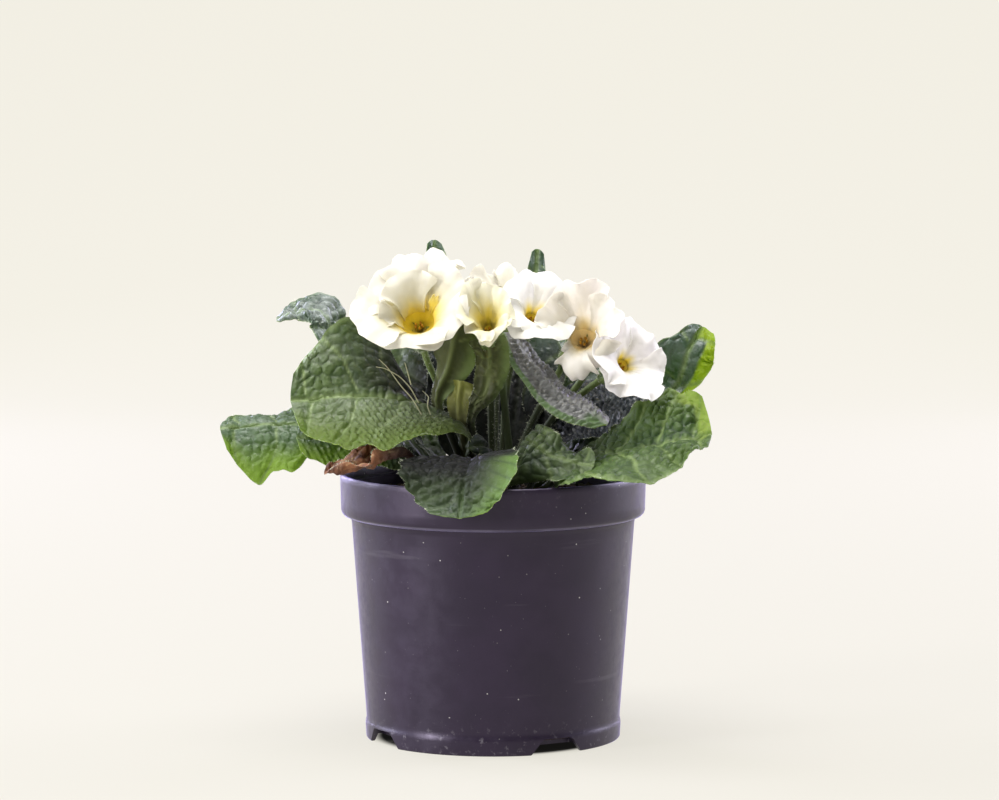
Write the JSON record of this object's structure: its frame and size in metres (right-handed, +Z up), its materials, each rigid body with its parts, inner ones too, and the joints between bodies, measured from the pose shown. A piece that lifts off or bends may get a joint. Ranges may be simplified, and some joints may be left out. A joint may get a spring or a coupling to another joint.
{
  "type": "potted primrose",
  "caption": "Flowering primrose in a round tapered nursery pot: a rosette of broad quilted leaves round a dome of cream five-petalled flowers with yellow eyes.",
  "frame": {"origin": "middle of the whole plant's outline seen from above, at the level of the pot's foot", "axes": "+Z up along the pot; the plant's face, with its largest flowers, is towards -Y; +X to the right of that face"},
  "size_m": [0.174, 0.1456, 0.1694],
  "materials": {
    "pot_plastic": "satin dark aubergine polypropylene with dust and fine scuffs",
    "peat": "damp dark peat with crumbs and fibres",
    "leaf_green": "quilted mid-green leaf with a soft waxy sheen and pale veins",
    "leaf_brown": "dry papery brown leaf",
    "stalk_green": "pale green finely hairy stalk and calyx",
    "petal_cream": "thin cream-white petal with a yellow eye"
  },
  "bodies": {
    "root": {"pot": "pot_plastic", "soil": "peat", "leaf_left_broad": "leaf_green", "leaf_left_low": "leaf_green", "leaf_left_under": "leaf_green", "leaf_left_high": "leaf_green", "leaf_front_broad": "leaf_green", "leaf_front_twisted": "leaf_green", "leaf_right_broad": "leaf_green", "leaf_right_high": "leaf_green", "leaf_right_dark": "leaf_green", "leaf_arched": "leaf_green", "leaf_inner_left": "leaf_green", "leaf_inner_right": "leaf_green", "leaf_back_tall_left": "leaf_green", "leaf_back_tall_right": "leaf_green", "leaf_back_a": "leaf_green", "leaf_back_b": "leaf_green", "leaf_back_c": "leaf_green", "leaf_back_d": "leaf_green", "leaf_back_e": "leaf_green", "leaf_back_f": "leaf_green", "leaf_back_g": "leaf_green", "leaf_dry": "leaf_brown", "stalk_left_front": "stalk_green", "corolla_left_front": "petal_cream", "stalk_middle_front": "stalk_green", "corolla_middle_front": "petal_cream", "stalk_middle": "stalk_green", "corolla_middle": "petal_cream", "stalk_right_front": "stalk_green", "corolla_right_front": "petal_cream", "stalk_right": "stalk_green", "corolla_right": "petal_cream", "stalk_left_top": "stalk_green", "corolla_left_top": "petal_cream", "stalk_top": "stalk_green", "corolla_top": "petal_cream", "stalk_right_top": "stalk_green", "corolla_right_top": "petal_cream", "stalk_back_left": "stalk_green", "corolla_back_left": "petal_cream", "stalk_back": "stalk_green", "corolla_back": "petal_cream", "stalk_back_right": "stalk_green", "corolla_back_right": "petal_cream"}
  },
  "joints": []
}
